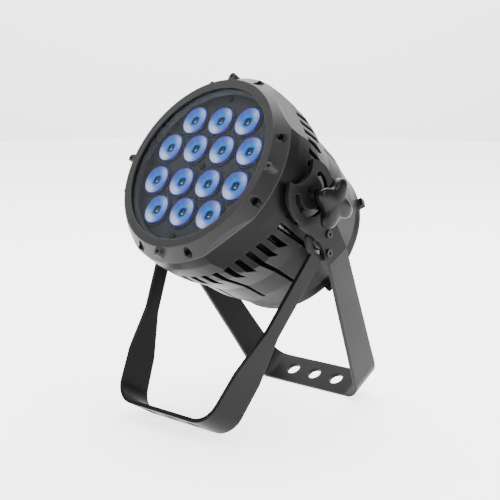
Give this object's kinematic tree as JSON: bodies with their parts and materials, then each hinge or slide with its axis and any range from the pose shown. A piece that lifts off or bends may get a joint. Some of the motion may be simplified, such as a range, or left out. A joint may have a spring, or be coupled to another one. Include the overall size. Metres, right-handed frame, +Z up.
{
  "type": "par can light",
  "caption": "Outdoor LED par can: finned cast housing with a ring of lenses behind glass, tilting on a folding two-leg floor and hanging bracket with lobed clamp knobs.",
  "frame": {"origin": "on the floor, at the middle of the whole light's footprint box", "axes": "+X to the right of someone facing the same way as the light's back, along the tilt axis; the face looks towards -Y and up; +Z up"},
  "size_m": [0.2548, 0.2437, 0.3344],
  "materials": {
    "cast_body": "textured powder coat",
    "bracket_paint": "satin powder coat",
    "black_oxide": "black oxide",
    "bright_steel": "polished zinc",
    "stainless": "satin",
    "clear_glass": "toughened, clear",
    "optic": "moulded optic",
    "panel_paint": "satin",
    "seal": "matte",
    "black_plastic": "satin",
    "blue_plastic": "satin",
    "grey_plastic": "satin",
    "display": "gloss",
    "brass": "plain",
    "board_white": "solder mask",
    "board_green": "solder mask",
    "led": "phosphor",
    "raw_aluminium": "as cast",
    "supply_case": "folded sheet"
  },
  "bodies": {
    "stand": {"rear_bracket": "bracket_paint", "stand_pivot_screws": "black_oxide", "stand_stop_screws": "black_oxide", "stand_pivot_nuts": "bright_steel", "stand_stop_nuts": "bright_steel"},
    "front_leg": {"front_bracket": "bracket_paint"},
    "head": {"front_bezel": "cast_body", "bezel_screws": "black_oxide", "glass_cover": "clear_glass", "glass_gasket": "seal", "glass_retainer": "black_plastic", "lens_panel": "panel_paint", "lenses": "optic", "panel_screws": "black_oxide", "panel_spacers": "brass", "led_board": "board_white", "leds": "led", "heat_sink": "raw_aluminium", "sink_screws": "stainless", "housing": "cast_body", "housing_gasket": "seal", "driver_board": "board_green", "power_supply": "supply_case", "rear_cap": "cast_body", "cap_gasket": "seal", "cap_screws": "stainless", "display_window": "display", "power_inlet": "blue_plastic", "power_outlet": "grey_plastic", "data_inlet": "black_plastic", "data_outlet": "black_plastic", "pressure_vent": "black_plastic", "safety_eye": "stainless", "pivot_screw_right": "black_oxide", "pivot_screw_left": "black_oxide", "pivot_washers": "black_plastic", "knob_stud_right": "stainless", "knob_stud_left": "stainless"},
    "knob_right": {"knob_right": "black_plastic"},
    "knob_left": {"knob_left": "black_plastic"},
    "menu_button_1": {"menu_button_1": "black_plastic"},
    "menu_button_2": {"menu_button_2": "black_plastic"},
    "menu_button_3": {"menu_button_3": "black_plastic"},
    "menu_button_4": {"menu_button_4": "black_plastic"}
  },
  "joints": [
    {"name": "head_tilt", "type": "hinge", "parent": "stand", "child": "head", "pos_m": [0, -0.0288, 0.22521], "axis": [1, 0, 0], "range_deg": [-139, 86]},
    {"name": "front_leg_fold", "type": "hinge", "parent": "stand", "child": "front_leg", "pos_m": [0, -0.00374, 0.1851], "axis": [1, 0, 0], "range_deg": [0, 60]},
    {"name": "knob_right_turn", "type": "hinge", "parent": "head", "child": "knob_right", "pos_m": [0, -0.01258, 0.21532], "axis": [1, 0, 0], "continuous": true},
    {"name": "knob_left_turn", "type": "hinge", "parent": "head", "child": "knob_left", "pos_m": [0, -0.01258, 0.21532], "axis": [1, 0, 0], "continuous": true},
    {"name": "menu_button_1_press", "type": "slide", "parent": "head", "child": "menu_button_1", "axis": [0, -0.8536, 0.521], "range_m": [0, 0.0015], "stiffness_N_per_m": 300, "springref_m": -0.001},
    {"name": "menu_button_2_press", "type": "slide", "parent": "head", "child": "menu_button_2", "axis": [0, -0.8536, 0.521], "range_m": [0, 0.0015], "stiffness_N_per_m": 300, "springref_m": -0.001},
    {"name": "menu_button_3_press", "type": "slide", "parent": "head", "child": "menu_button_3", "axis": [0, -0.8536, 0.521], "range_m": [0, 0.0015], "stiffness_N_per_m": 300, "springref_m": -0.001},
    {"name": "menu_button_4_press", "type": "slide", "parent": "head", "child": "menu_button_4", "axis": [0, -0.8536, 0.521], "range_m": [0, 0.0015], "stiffness_N_per_m": 300, "springref_m": -0.001}
  ]
}
